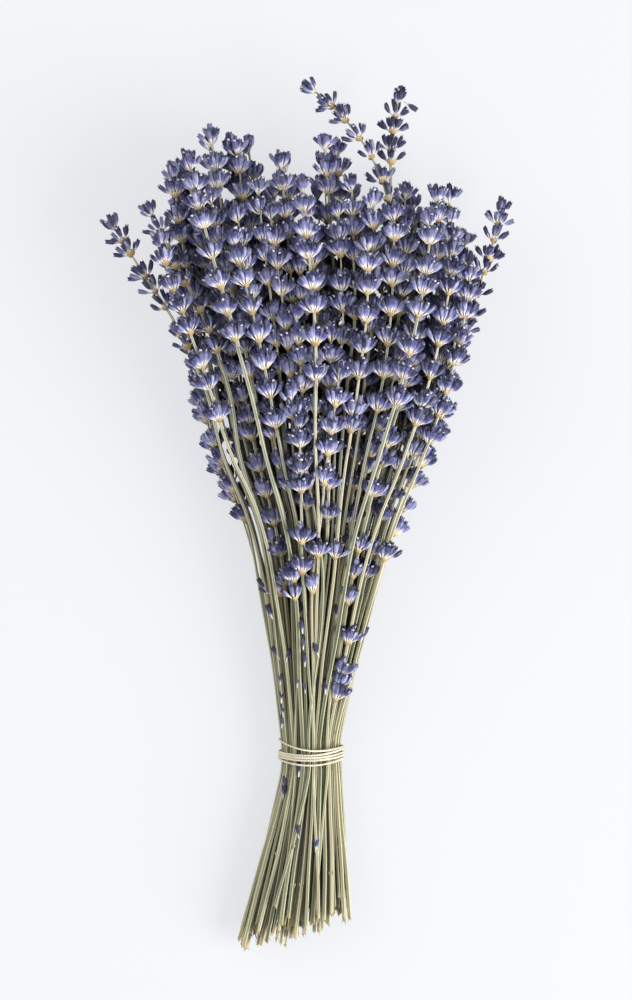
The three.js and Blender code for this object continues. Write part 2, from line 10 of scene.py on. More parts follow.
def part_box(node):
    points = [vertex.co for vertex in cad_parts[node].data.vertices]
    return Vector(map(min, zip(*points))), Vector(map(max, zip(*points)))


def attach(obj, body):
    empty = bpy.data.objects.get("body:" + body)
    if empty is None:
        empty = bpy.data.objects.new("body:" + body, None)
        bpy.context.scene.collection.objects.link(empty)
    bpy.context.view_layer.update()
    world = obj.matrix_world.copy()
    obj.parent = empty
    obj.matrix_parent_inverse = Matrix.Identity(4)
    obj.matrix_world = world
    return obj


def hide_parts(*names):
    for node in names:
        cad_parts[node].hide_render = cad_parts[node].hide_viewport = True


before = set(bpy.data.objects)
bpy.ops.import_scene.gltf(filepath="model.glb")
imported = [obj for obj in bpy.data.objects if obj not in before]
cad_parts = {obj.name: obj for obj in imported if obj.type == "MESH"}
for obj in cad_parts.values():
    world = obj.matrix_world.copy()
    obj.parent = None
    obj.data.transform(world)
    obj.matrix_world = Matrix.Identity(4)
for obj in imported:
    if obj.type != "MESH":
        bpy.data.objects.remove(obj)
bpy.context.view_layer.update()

# The bunch is laid out as its solids are: millimetres, x across, y from the cut ends to the tips, z up.
layout = {
    "stemPitch": 2.1,
    "layerCounts": [5, 9, 12, 13, 13, 12, 9, 5],
    "bindingReach": 10,
    "cutLeft": -88,
    "cutRight": -74,
    "cutSpread": 12,
    "spikeLength": (74, 96),
    "layerTips": [180, 207, 236, 264, 260, 214],
    "layerSpread": [14, 22, 30, 24, 26, 42],
    "tipSideDrop": 14,
    "wander": (0.1, 0.12),
    "shake": 1.2,
    "stemRoom": 1.7,
    "spikeRoom": 5.3,
    "spikeFrom": 0.25,
    "footBlend": 14,
    "pushStrength": 0.25,
    "settleRounds": 240,
    "lastRounds": 70,
    "seed": 23,
}

# height, middle, half the width, half the depth and the lowest stem of the fan
fan = np.array([
    (-90, -7.8, 26.5, 9.6, 1.1),
    (-10, 0, 12.6, 8.75, 3.075),
    (10, 0, 12.6, 8.75, 3.075),
    (80, 4.2, 25, 14.2, 3.2),
    (110, 5, 32.5, 17, 5.2),
    (140, 5, 44.5, 20, 5.8),
    (170, 6, 53, 22, 6),
    (200, 6, 60, 23.5, 6),
    (230, 4, 65, 23.5, 6.5),
    (260, 2, 68, 22, 8),
    (290, 0, 70, 19, 11),
    (320, 0, 71, 16, 14),
], dtype=float)
heights = fan[:, 0]

# the outline of the head: x, and the highest that a spike inside it may end there
topLine = np.array([
    (-70, 268), (-56, 276), (-48, 288), (-30, 288), (-24, 265), (-18, 265), (-12, 277),
    (-5, 268), (3, 288), (14, 280), (20, 262), (56, 262), (64, 245), (72, 222),
], dtype=float)

# spikes that stand out: (layer, place), height of the tip, length, and where the stem passes
strays = {
    (4, 0): (246, 62, [(-52, 182, 36), (-91.5, 246, 30)]),
    (5, 0): (252, 70, [(-40, 182, 46), (-74, 252, 40)]),
    (3, 12): (254, 72, [(64, 182, 28), (88.5, 254, 24)]),
    (4, 7): (308.5, 66, [(37, 235, 40), (33, 266, 42), (12, 299, 40), (-22, 325, 38)]),
    (4, 9): (304, 34, [(38, 250, 30), (35, 272, 30), (41, 304, 32)]),
    (3, 2): (274, 84, [(-57.5, 274, 26)]),
    (4, 3): (287, 88, [(-47, 287, 36)]),
    (3, 4): (284, 86, [(-32.5, 284, 24)]),
    (4, 5): (275, 84, [(-13, 275, 38)]),
    (4, 6): (284, 86, [(3.5, 284, 37)]),
    (3, 9): (262, 84, [(45, 262, 26)]),
    (4, 11): (259, 82, [(57, 259, 38)]),
    (5, 11): (222, 80, [(66, 222, 44)]),
}

# the two layers on top: x and y of each tip, and the length of its spike
frontSpikes = {
    6: [(-65, 237, 86), (-47, 258, 90), (-23, 262, 92), (-15, 204, 90), (7, 196, 88), (19, 264, 94),
        (37, 250, 92), (45, 203, 88), (67, 234, 88)],
    7: [(-53, 272, 84), (-34, 238, 88), (-2, 262, 92), (25, 236, 94), (55, 247, 92)],
}
frontRise = {6: 1.75, 7: 2}


def mix(a, b, share):
    return a + (b - a) * share


def clamp(value, low, high):
    return min(max(value, low), high)


def draw(stem, use):  # a fixed draw between 0 and 1
    bits = ((stem + 1) * 0x9e3779b1 ^ (use + layout["seed"]) * 0x85ebca6b) & 0xffffffff
    bits = ((bits ^ bits >> 15) * 0x2c1b3c6d) & 0xffffffff
    bits = ((bits ^ bits >> 12) * 0x297a2d39) & 0xffffffff
    return (bits ^ bits >> 15) / 2 ** 32


def fanAt(y):
    above = int(clamp(np.searchsorted(heights, y, side="right"), 1, len(heights) - 1))
    share = (y - heights[above - 1]) / (heights[above] - heights[above - 1])
    return mix(fan[above - 1], fan[above], share)[1:]


def fromFan(u, v, y):
    middle, halfWidth, halfDepth, lowest = fanAt(y)
    return np.array([middle + u * halfWidth, lowest + halfDepth * (1 + v)])


def toFan(x, y, z):
    middle, halfWidth, halfDepth, lowest = fanAt(y)
    return y, (x - middle) / halfWidth, (z - lowest) / halfDepth - 1


def topAt(x):
    return float(np.interp(x, topLine[:, 0], topLine[:, 1]))


def ownPath(layer, place):
    if (layer, place) in strays:
        return strays[layer, place]
    if layer in frontSpikes:
        x, y, length = frontSpikes[layer][place]
        middle, halfWidth, halfDepth, lowest = fanAt(y)
        return y, length, [(x, y, lowest + halfDepth * frontRise[layer])]
    return None


def makeStems():
    counts = layout["layerCounts"]
    halfLayers = (len(counts) - 1) / 2
    halfWidth = (max(counts) - 1) / 2 * layout["stemPitch"]
    stems = []
    for layer, count in enumerate(counts):
        for place in range(count):
            number = len(stems)
            u = (place - (count - 1) / 2) * layout["stemPitch"] / halfWidth
            v = (layer - halfLayers) / halfLayers
            own = ownPath(layer, place)
            if own:
                tip, length, points = own
                guides = [toFan(*point) for point in points]
            else:
                uneven = (1 if place % 2 else -1) * mix(0.7, 1, draw(number, 1))
                placeU = u + (draw(number, 4) - 0.5) * layout["wander"][0]
                placeV = clamp(v + (draw(number, 5) - 0.5) * layout["wander"][1], -1, 1)
                tip = layout["layerTips"][layer] - layout["tipSideDrop"] * u * u
                tip += layout["layerSpread"][layer] * uneven
                tip = min(tip, topAt(fromFan(placeU, placeV, tip)[0]))
                length = mix(*layout["spikeLength"], draw(number, 2))
                guides = [(tip, placeU, placeV)]
            cut = mix(layout["cutLeft"], layout["cutRight"], (u + 1) / 2)
            cut += layout["cutSpread"] * (draw(number, 3) - 0.35)
            stems.append({
                "number": number, "layer": layer, "u": u, "v": v, "tip": tip, "foot": tip - length, "cut": cut,
                "guides": [(layout["bindingReach"], u, v)] + guides, "isStray": len(guides) > 1,
            })
    return stems


def freeLine(stem, y):  # where a stem would run with nothing in its way
    if y <= layout["bindingReach"]:
        at = fromFan(stem["u"], stem["v"], y)
        if y < -layout["bindingReach"]:
            at[0] += (draw(stem["number"], 6) - 0.5) * layout["shake"]
        return at
    guides = stem["guides"]
    above = next((k for k, guide in enumerate(guides) if guide[0] > y), None)
    if above is None and not stem["isStray"]:
        return fromFan(guides[-1][1], guides[-1][2], y)
    above = len(guides) - 1 if above is None else max(above, 1)
    (lowY, lowU, lowV), (highY, highU, highV) = guides[above - 1], guides[above]
    share = (y - lowY) / (highY - lowY)
    return fromFan(mix(lowU, highU, share), mix(lowV, highV, share), y)


def roomAt(stem, y):
    if y > stem["tip"] + 4:
        return 0.0
    inSpike = clamp((y - stem["foot"]) / layout["footBlend"] + 0.5, 0, 1)
    return mix(layout["stemRoom"], layout["spikeRoom"], inSpike)


def settle(stems):  # pushes the stems apart and eases their bends
    top = len(heights) - 1
    levels = [(k, k, 0.0) for k in range(top + 1)] + [(k, k + 1, 0.5) for k in range(top)]
    levels = [level for level in levels if mix(heights[level[0]], heights[level[1]], level[2]) > 10]
    low, high = [np.array([level[k] for level in levels]) for k in (0, 1)]
    share = np.array([level[2] for level in levels])[:, None, None]
    line = np.array([[freeLine(stem, y) for y in heights] for stem in stems])
    held = np.array([[y <= 10 or (stem["isStray"] and y >= stem["guides"][1][0] - 20) for y in heights]
                     for stem in stems])
    rooms = np.array([[roomAt(stem, mix(heights[a], heights[b], c)) for stem in stems] for a, b, c in levels])
    need = rooms[:, :, None] + rooms[:, None, :]
    both = (rooms[:, :, None] > 0) & (rooms[:, None, :] > 0) & ~np.eye(len(stems), dtype=bool)
    spikeFrom = mix(layout["stemRoom"], layout["spikeRoom"], layout["spikeFrom"])
    floor = np.array([[fan[h, 4] if roomAt(stem, y) > spikeFrom else 1.1 for h, y in enumerate(heights)]
                      for stem in stems])
    moved = np.zeros_like(line)
    for turn in range(layout["settleRounds"]):
        at = (line + moved).transpose(1, 0, 2)
        at = mix(at[low], at[high], share)
        between = at[:, None, :, :] - at[:, :, None, :]
        apart = np.hypot(between[..., 0], between[..., 1])
        strength = layout["pushStrength"] * (need - apart) / np.maximum(apart, 0.01)
        strength = np.where(both & (apart < need), strength, 0)
        shove = -(strength[..., None] * between).sum(axis=2)
        push = np.zeros((len(heights), len(stems), 2))
        np.add.at(push, low, shove * (1 - share))
        np.add.at(push, high, shove * share)
        easing = 0.25 if turn < layout["settleRounds"] - layout["lastRounds"] else 0.03
        lower = np.roll(moved, 1, axis=1)
        upper = np.concatenate([moved[:, 1:], moved[:, -1:]], axis=1)
        fresh = moved + easing * ((lower + upper) / 2 - moved) + push.transpose(1, 0, 2)
        fresh[..., 1] = np.maximum(fresh[..., 1], floor - line[..., 1])
        moved = np.where(held[..., None], moved, fresh)
    return line + moved


stems = makeStems()
solidCount = len(stems)
stemPoints = settle(stems)  # x and z of every stem at each height of the fan

between = {  # slimmer stems that lie between two others and fill the head
    "share": 0.75,
    "layers": (1, 6),
    "above": (-16, 0),      # of their tips over the higher of the two beside them
    "overTop": -4,
    "length": (60, 84),
    "cutShift": (-4, 8),
    "seed": 5,
}


def addBetween():
    rng = random.Random(between["seed"])
    lowest, highest = between["layers"]
    fresh = []
    for one, other in zip(stems, stems[1:]):
        isInside = one["layer"] == other["layer"] and lowest <= one["layer"] <= highest
        isKept = rng.random() < between["share"]
        tip = max(one["tip"], other["tip"]) + rng.uniform(*between["above"])
        length = rng.uniform(*between["length"])
        cut = (one["cut"] + other["cut"]) / 2 + rng.uniform(*between["cutShift"])
        if isInside and isKept and not (one["isStray"] or other["isStray"]):
            points = (stemPoints[one["number"]] + stemPoints[other["number"]]) / 2
            tip = min(tip, topAt(np.interp(tip, heights, points[:, 0])) + between["overTop"])
            fresh.append((one["number"], other["number"], tip, tip - length, cut))
    for one, other, tip, foot, cut in fresh:
        stems.append({"number": len(stems), "layer": stems[one]["layer"], "u": 0, "v": 0, "tip": tip,
                      "foot": foot, "cut": cut, "isStray": False})
    return np.array([(stemPoints[one] + stemPoints[other]) / 2 for one, other, *rest in fresh])


loose = {
    # beside which stem, how far off it below, in and above the tie, how high over it, the tip and the spike's length
    "stems": [(26, 0, -1.2, -2, 0, 168, 60), (14, 0, -2.3, -3, 1, 176, 60), (51, 0, 1.2, 1, 0, 176, 56),
              (25, 0, 2.3, 2, 1, 160, 60), (74, -9, 1.05, 9, 1.1, 168, 50), (76, 8, -1.05, -9, 1.1, 178, 56),
              (75, 5, 1.05, -7, 1.1, 156, 38), (65, 6, -1.05, 5, 1.1, 172, 52), (71, -7, 1.05, -6, 1.1, 186, 60)],
    "at": [-90, -10, 10, 80],   # the heights for which those are given
    "cutHigher": 5,
}


def addLoose():
    lines = []
    for beside, below, within, above, over, tip, length in loose["stems"]:
        aside = np.interp(heights, loose["at"], [below, within, within, above])
        lines.append(stemPoints[beside] + np.stack([aside, np.full(len(heights), over)], axis=1))
        stems.append({"number": len(stems), "layer": stems[beside]["layer"], "u": 0, "v": 0, "tip": tip,
                      "foot": tip - length, "cut": stems[beside]["cut"] + loose["cutHigher"], "isStray": False})
    return np.array(lines)


stemPoints = np.concatenate([stemPoints, addBetween()])
stemPoints = np.concatenate([stemPoints, addLoose()])
slopes = np.empty_like(stemPoints)
for k in range(len(heights)):
    below, above = max(k - 1, 0), min(k + 1, len(heights) - 1)
    slopes[:, k] = (stemPoints[:, above] - stemPoints[:, below]) / (heights[above] - heights[below])


tips, feet, cuts = [np.array([stem[key] for stem in stems]) for key in ("tip", "foot", "cut")]


def linesAt(y):  # x and z of every stem at one height
    k = int(clamp(np.searchsorted(heights, y, side="right") - 1, 0, len(heights) - 2))
    span = heights[k + 1] - heights[k]
    t = (y - heights[k]) / span
    at = stemPoints[:, k] * (2 * t ** 3 - 3 * t ** 2 + 1) + slopes[:, k] * span * (t ** 3 - 2 * t ** 2 + t)
    at = at + stemPoints[:, k + 1] * (3 * t ** 2 - 2 * t ** 3) + slopes[:, k + 1] * span * (t ** 3 - t ** 2)
    at[:, 1] = np.maximum(at[:, 1], 1.1)
    return at


def pointAt(number, y):
    x, z = linesAt(y)[number]
    return Vector((x, y, z))


def crossways(number, y):  # the directions across a stem, level and up, and the one along it
    along = (pointAt(number, y + 1) - pointAt(number, y - 1)).normalized()
    level = Vector((0, 0, 1)).cross(along).normalized()
    return level, along.cross(level), along


openLook = {  # how much of the light reaches a place inside the bunch; what does not reach is painted as shade into the colours
    "step": 6,
    "reach": 6,             # how far to its side a spike hides what is behind it
    "bareShare": 0.25,      # what a bare stem hides, as a share of what a spike does
    "fade": 1.3,
    "least": {"spike": 0.0, "stem": 0.1},
    "shade": "#0f0f13",     # painted shade of what the bunch hides
    "sides": [(0, 1), (-1, 0), (1, 0), (-0.7, 0.7), (0.7, 0.7)],
}


def opennessAt(y):  # for every stem: 0 deep inside the bunch, 1 with nothing over it or beside it
    at = linesAt(y)
    gaps = at[None, :, :] - at[:, None, :]
    hides = ((cuts < y) & (tips > y)) * np.where(feet < y, 1, openLook["bareShare"])
    best = np.zeros(len(stems))
    for x, z in openLook["sides"]:
        aside = abs(gaps @ np.array([z, -x]))
        cover = (gaps @ np.array([x, z]) > 1) * hides * np.clip(1 - aside / openLook["reach"], 0, 1)
        best = np.maximum(best, np.exp(-openLook["fade"] * cover.sum(axis=1)))
    return best


openHeights = np.arange(-102, 330, openLook["step"])
openness = np.array([opennessAt(y) for y in openHeights])

lowestCut = min(stem["cut"] for stem in stems if stem["layer"] == 0)
bindingLow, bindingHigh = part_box("binding")
toFrame = Matrix.Translation((
    (bindingLow.x + bindingHigh.x) / 2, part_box("stems_1")[0].y - lowestCut / 1000, 0)) @ Matrix.Scale(0.001, 4)
print("laid out", len(stems), "stems; the binding's middle is at", list(toFrame.translation))


class Signal:  # a shader socket that can be reckoned with
    def __init__(self, shader, socket):
        self.shader, self.socket = shader, socket

    def out(self, name):
        return Signal(self.shader, self.socket.node.outputs[name])

    def reckon(self, operation, *terms):
        return self.shader.make("Math", {"operation": operation}, dict(enumerate(terms)))

    def __add__(self, other):
        return self.reckon("ADD", self, other)

    def __sub__(self, other):
        return self.reckon("SUBTRACT", self, other)

    def __mul__(self, other):
        return self.reckon("MULTIPLY", self, other)

    def __rsub__(self, other):
        return self.reckon("SUBTRACT", other, self)

    __radd__ = __add__
    __rmul__ = __mul__

    def wave(self):  # 0 to 1 and back, once for each unit
        return self.reckon("COSINE", self * (2 * math.pi)) * -0.5 + 0.5

    def rise(self, start, end):  # smoothly 0 at the start and 1 at the end
        return self.shader.make("MapRange", {"interpolation_type": "SMOOTHSTEP"},
                                {"Value": self, "From Min": start, "From Max": end})


class Shader:
    def __init__(self, name):
        self.material = bpy.data.materials.new(name)
        self.material.use_nodes = True
        self.material.node_tree.nodes.clear()

    def make(self, kind, settings=None, sockets=None):
        node = self.material.node_tree.nodes.new("ShaderNode" + kind)
        for key, value in (settings or {}).items():
            if key == "stops":
                while len(node.color_ramp.elements) < len(value):
                    node.color_ramp.elements.new(1)
                for element, (position, shade) in zip(node.color_ramp.elements, value):
                    element.position, element.color = position, shade
            else:
                setattr(node, key, value)
        for key, value in (sockets or {}).items():
            if isinstance(value, Signal):
                self.material.node_tree.links.new(value.socket, node.inputs[key])
            else:
                node.inputs[key].default_value = value
        return Signal(self, node.outputs[0]) if node.outputs else None

    def ramp(self, value, stops):
        return self.make("ValToRGB", {"stops": [(at, colour(code)) for at, code in stops]}, {"Fac": value})

    def blend(self, share, first, second):
        sides = {6: first, 7: second}
        sides = {key: colour(side) if isinstance(side, str) else side for key, side in sides.items()}
        return self.make("Mix", {"data_type": "RGBA"}, {0: share, **sides}).out(2)

    def noise(self, place, scale, detail=2.0):
        return self.make("TexNoise", {}, {"Vector": place, "Scale": scale, "Detail": detail})

    def growth(self):  # once round the piece, and from its foot to its end
        split = self.make("SeparateXYZ", {}, {0: self.make("UVMap", {"uv_map": "growth"})})
        return split.out("X"), split.out("Y")

    def attribute(self, name):
        return self.make("Attribute", {"attribute_name": name}).out("Fac")

    def inside(self, skin):  # a colour with painted shade, darker where the bunch hides it
        return self.blend(self.attribute("open"), openLook["shade"], skin)

    def objectPlace(self):
        return self.make("TexCoord").out("Object")

    def combine(self, x, y, z):
        return self.make("CombineXYZ", {}, {0: x, 1: y, 2: z})

    def bump(self, height, strength, distance):
        return self.make("Bump", {}, {"Height": height, "Strength": strength, "Distance": distance})

    def close(self, sockets):
        surface = self.make("BsdfPrincipled", {}, sockets)
        self.make("OutputMaterial", {}, {"Surface": surface})
        return self.material


def colour(code):  # a hexadecimal colour in linear light
    shares = [int(code[k:k + 2], 16) / 255 for k in (1, 3, 5)]
    return [share / 12.92 if share <= 0.04045 else ((share + 0.055) / 1.055) ** 2.4 for share in shares] + [1]


calyxLook = {
    "length": 7.8,
    "width": 2.85,
    "flatness": 0.85,
    "profile": [(0, 0), (0.17, 0.01), (0.22, 0.2), (0.4, 0.36), (0.84, 0.55), (1, 0.77), (0.8, 0.95)],
    "plump": (1, 0.88, 1.08, 0.95),         # of each kind
    "mouth": (0.92, 0.82, 0.99, 0.88),      # how deep the mouth reaches
    "sides": 8,
    "teeth": (0.75, -0.3),
    "bend": 1.9,            # how far the mouth leans back to the stem
    "ribs": 5,
    "stops": [(0, "#c4ab7c"), (0.14, "#eadcc0"), (0.36, "#f3ece0"), (0.5, "#cbc8d8"), (0.59, "#9492ba"),
              (0.7, "#66679b"), (0.84, "#434472"), (0.93, "#565887"), (1, "#20203a")],
    "shade": "#171730",
    "glint": "#c1c2e2",
    "pale": "#a2a3c6",
    "gap": "#6e5c58",       # between the ribs of the pale foot
    "aged": "#2c2a45",
}


def calyxFinish():
    shader = Shader("calyxFelt")
    around, along = shader.growth()
    tone = shader.attribute("tone")
    place = shader.objectPlace()
    ribs = (around * calyxLook["ribs"]).wave()
    streaks = shader.noise(shader.combine(around * 5 + tone * 60, along * 0.9, tone * 23), 1.0)
    mottle = shader.noise(place, 700)
    reach = along + tone * 0.12 + mottle * 0.16 + streaks * 0.12 - 0.2
    skin = shader.ramp(reach, calyxLook["stops"])
    coloured = reach.rise(0.46, 0.7)
    dusk = shader.blend(coloured * (tone * 19).wave() * 0.55, skin, calyxLook["shade"])
    faded = shader.blend(coloured * (tone * 31).wave().rise(0.6, 1) * 0.4, dusk, calyxLook["pale"])
    lit = shader.blend(coloured * streaks.rise(0.52, 0.7) * 0.6, faded, calyxLook["glint"])
    aged = shader.blend(coloured * tone.rise(1, 2) * 0.85, lit, calyxLook["aged"])
    ribbed = shader.blend((1 - coloured) * (1 - ribs).rise(0.5, 0.95) * 0.6, aged, calyxLook["gap"])
    bump = shader.bump(ribs + mottle * 0.6, 0.4, 0.0003)
    return shader.close({"Base Color": shader.inside(ribbed), "Roughness": 0.7, "Normal": bump, "Sheen Weight": 0.1,
                         "Sheen Roughness": 0.4, "Specular IOR Level": 0.3})


stemLook = {
    "half": 1.0,            # half the width across the sides
    "corner": 1.22,         # how far the corners stand out, as a share of that
    "groove": 0.82,
    "taper": 0.82,
    "lowest": 1.34,         # of their middles over the surface
    "slim": 0.75,
    "stations": 48,
    "twist": 0.35,
    "wiggle": 0.35,
    "slant": 0.8,
    "splinters": (1, 3),    # at the cut end
    "splinterRadii": (0.32, 0.08),
    "splinterLength": (1.2, 2.8),
    "colours": ["#5e6042", "#757852", "#8a8b66", "#9b9a74", "#a9a27c", "#9c8d68", "#6f7152"],
    # ridge: partly the stem's own paler colour, partly painted highlight; it also lightens the fibres. furrow:
    # painted shade in the grooves
    "ridge": "#d0cdb6",
    "furrow": "#2c2b1b",
    "bleached": "#bdbaa6",  # up in the head
    "cutTan": "#c0a979",
}


def stemFinish(name, cutShare):
    shader = Shader(name)
    around, along = shader.growth()
    tone = shader.attribute("tone")
    place = shader.objectPlace()
    split = shader.make("SeparateXYZ", {}, {0: place})
    drawn = shader.combine(around * 9 + tone * 91, split.out("Y") * 14, tone * 37)
    fibre = shader.noise(drawn, 1.0, 3.0)
    patches = shader.noise(shader.combine(tone * 51, split.out("Y") * 22, around * 1.5), 1.0)
    steps = [k / (len(stemLook["colours"]) - 1) for k in range(len(stemLook["colours"]))]
    fresh = shader.ramp(tone + patches * 0.5 - 0.25, list(zip(steps, stemLook["colours"])))
    base = shader.blend(split.out("Y").rise(-0.05, 0.04) * 0.5, fresh, stemLook["bleached"])
    # painted highlight along the ridges and painted shade in the furrows, over the stem's own paler ridges and
    # darker grooves
    groove = (around * 4).wave()
    ridgeLit = shader.blend((1 - groove).rise(0.8, 0.98) * 0.85, base, stemLook["ridge"])
    furrowShaded = shader.blend((groove * 0.85 + fibre * 0.35).rise(0.78, 1.05) * 0.8, ridgeLit, stemLook["furrow"])
    skin = shader.blend(fibre.rise(0.5, 0.8) * 0.3, furrowShaded, stemLook["ridge"])
    if cutShare:
        burnt = (along + fibre * cutShare).rise(cutShare * 2, cutShare * 0.5)
        skin = shader.blend(burnt * 0.45, skin, stemLook["cutTan"])
    bump = shader.bump(fibre, 0.3, 0.0003)
    return shader.close({"Base Color": shader.inside(skin), "Roughness": 0.55, "Normal": bump,
                         "Specular IOR Level": 0.4})


bractLook = {"width": 2.6, "length": 2.6, "thickness": 0.9, "tan": "#b29768", "rim": "#d3c29c", "vein": "#7d633f"}


def bractFinish():
    shader = Shader("papery")
    around, along = shader.growth()
    tone = shader.attribute("tone")
    place = shader.objectPlace()
    fine = shader.noise(place, 1400, 3.0)
    veins = (around * 14).wave()
    tan = shader.blend(tone * 0.7 + fine * 0.4 - 0.1, bractLook["vein"], bractLook["tan"])
    rimmed = shader.blend(along.rise(0.35, 0.95) * 0.7 + veins * 0.25, tan, bractLook["rim"])
    bump = shader.bump(veins * 0.7 + fine, 0.5, 0.0003)
    return shader.close({"Base Color": shader.inside(rimmed), "Roughness": 0.7, "Normal": bump,
                         "Specular IOR Level": 0.3})


def petalFinish():
    shader = Shader("witheredPetal")
    fine = shader.noise(shader.objectPlace(), 1100, 3.0)
    skin = shader.blend(fine.rise(0.35, 0.7), petalLook["shade"], petalLook["light"])
    bump = shader.bump(fine, 0.6, 0.0004)
    return shader.close({"Base Color": shader.inside(skin), "Roughness": 0.6, "Normal": bump,
                         "Specular IOR Level": 0.3})


def raffiaFinish():
    shader = Shader("raffia")
    around, along = shader.growth()
    fibre = shader.noise(shader.combine(around * 22, along * 45, 0.0), 1.0, 4.0)
    skin = shader.ramp(fibre, raffiaLook["stops"])
    return shader.close({"Base Color": skin, "Roughness": 0.6, "Normal": shader.bump(fibre, 0.5, 0.0003),
                         "Specular IOR Level": 0.35})


def wrapGrowth(solid):  # u runs round the z axis, v from the low end to the high one
    growth = solid.loops.layers.uv.new("growth")
    solid.verts.layers.float.new("tone")
    solid.verts.layers.float.new("open")
    low = min(vert.co.z for vert in solid.verts)
    high = max(vert.co.z for vert in solid.verts)
    for face in solid.faces:
        centre = face.calc_center_median()
        middle = math.atan2(centre.y, centre.x) / (2 * math.pi)
        for loop in face.loops:
            at = loop.vert.co
            turn = math.atan2(at.y, at.x) / (2 * math.pi) if math.hypot(at.x, at.y) > 1e-5 else middle
            loop[growth].uv = (turn + round(middle - turn), (at.z - low) / (high - low))


def keptShape(name, solid, finishPlace):
    bmesh.ops.recalc_face_normals(solid, faces=solid.faces)
    for face in solid.faces:
        face.material_index = finishPlace
    shape = bpy.data.meshes.new(name)
    solid.to_mesh(shape)
    solid.free()
    return shape


def spun(profile, sides):  # a closed shell from its profile, radius and height
    shell = bmesh.new()
    rim = [shell.verts.new((radius, 0, height)) for radius, height in profile]
    edges = [shell.edges.new(pair) for pair in zip(rim, rim[1:])]
    bmesh.ops.spin(shell, geom=rim + edges, cent=(0, 0, 0), axis=(0, 0, 1), angle=2 * math.pi, steps=sides,
                   use_merge=True)
    bmesh.ops.remove_doubles(shell, verts=shell.verts, dist=1e-4)
    return shell


def bendOf(kind):
    return calyxLook["bend"] * (0.6 + 0.4 * (kind % 3))


def calyxShape(kind):
    rng = random.Random(kind)
    halfWidth = calyxLook["plump"][kind] * calyxLook["width"] / 2
    profile = calyxLook["profile"] + [(0, calyxLook["mouth"][kind])]
    shell = spun([(radius * halfWidth, rise * calyxLook["length"]) for radius, rise in profile], calyxLook["sides"])
    wrapGrowth(shell)
    for vert in shell.verts:
        share = vert.co.z / calyxLook["length"]
        if share > 0.94 and math.hypot(vert.co.x, vert.co.y) > 0.2:
            isNotch = round(math.atan2(vert.co.y, vert.co.x) / (math.pi / 4)) % 2
            vert.co.z += calyxLook["teeth"][isNotch] + rng.uniform(-0.25, 0.25)
        vert.co.y *= calyxLook["flatness"]
        vert.co.x += rng.uniform(-0.05, 0.05)
        vert.co.y -= bendOf(kind) * share * share
    return keptShape("calyx" + str(kind), shell, 0)


def bractShape():
    scale = bmesh.new()
    bmesh.ops.create_uvsphere(scale, u_segments=10, v_segments=6, radius=0.5)
    bmesh.ops.rotate(scale, cent=(0, 0, 0), matrix=Matrix.Rotation(0.2, 3, "Z"), verts=scale.verts)
    bmesh.ops.scale(scale, vec=(bractLook["width"], bractLook["thickness"], bractLook["length"]), verts=scale.verts)
    bmesh.ops.translate(scale, vec=(0, 0, bractLook["length"] / 2), verts=scale.verts)
    wrapGrowth(scale)
    for vert in scale.verts:
        share = vert.co.z / bractLook["length"]
        vert.co.x *= 1.15 - 0.5 * share ** 3
        vert.co.y -= 0.14 * vert.co.x ** 2 + 0.9 * share * share
    return keptShape("bract", scale, 2)


petalLook = {"radius": 0.75, "crumple": (0.35, 1.3), "flat": (1, 0.5, 1.1), "shade": "#9896b4", "light": "#e6e5ec"}


def petalShape(kind):
    rng = random.Random(40 + kind)
    crumple = bmesh.new()
    bmesh.ops.create_icosphere(crumple, subdivisions=2, radius=petalLook["radius"])
    wrapGrowth(crumple)
    for vert in crumple.verts:
        vert.co *= rng.uniform(*petalLook["crumple"])
    bmesh.ops.scale(crumple, vec=petalLook["flat"], verts=crumple.verts)
    return keptShape("petal" + str(kind), crumple, 3)


def splinterShape():
    sliver = bmesh.new()
    foot, point = stemLook["splinterRadii"]
    bmesh.ops.create_cone(sliver, cap_ends=True, segments=5, radius1=foot, radius2=point, depth=1)
    bmesh.ops.translate(sliver, vec=(0, 0, 0.5), verts=sliver.verts)
    wrapGrowth(sliver)
    return keptShape("splinter", sliver, 0)


def tubeShape(name, sides, stations, finishPlace):  # a straight tube of unit length, to be laid along a line
    tube = bmesh.new()
    bmesh.ops.create_cone(tube, cap_ends=True, cap_tris=False, segments=sides, radius1=1, radius2=1, depth=1)
    lengthwise = [edge for edge in tube.edges if abs(edge.verts[0].co.z - edge.verts[1].co.z) > 0.5]
    bmesh.ops.subdivide_edges(tube, edges=lengthwise, cuts=stations - 2, use_grid_fill=True)
    bmesh.ops.translate(tube, vec=(0, 0, 0.5), verts=tube.verts)
    wrapGrowth(tube)
    return keptShape(name, tube, finishPlace)


def startPiece():
    solid = bmesh.new()
    solid.loops.layers.uv.new("growth")
    solid.verts.layers.float.new("tone")
    solid.verts.layers.float.new("open")
    return solid


def merge(solid, part, number, kind):  # adds a part that belongs to a stem and is as open as it, or fully open
    openLayer = part.verts.layers.float["open"]
    isOpen = np.ones(len(part.verts))
    if number is not None:
        isOpen = np.interp([vert.co.y for vert in part.verts], openHeights, openness[:, number])
        isOpen = mix(openLook["least"][kind], 1, isOpen)
    for vert, share in zip(part.verts, isOpen):
        vert[openLayer] = share
    mesh = bpy.data.meshes.new("part")
    part.to_mesh(mesh)
    part.free()
    solid.from_mesh(mesh, face_normals=False, vertex_normals=False)
    bpy.data.meshes.remove(mesh)


def addShape(solid, shape, tone):
    first = len(solid.verts)
    solid.from_mesh(shape, face_normals=False, vertex_normals=False)
    solid.verts.ensure_lookup_table()
    fresh = solid.verts[first:]
    toneLayer = solid.verts.layers.float["tone"]
    for vert in fresh:
        vert[toneLayer] = tone
    return fresh


def addAt(solid, shape, tone, place):
    bmesh.ops.transform(solid, matrix=place, verts=addShape(solid, shape, tone))


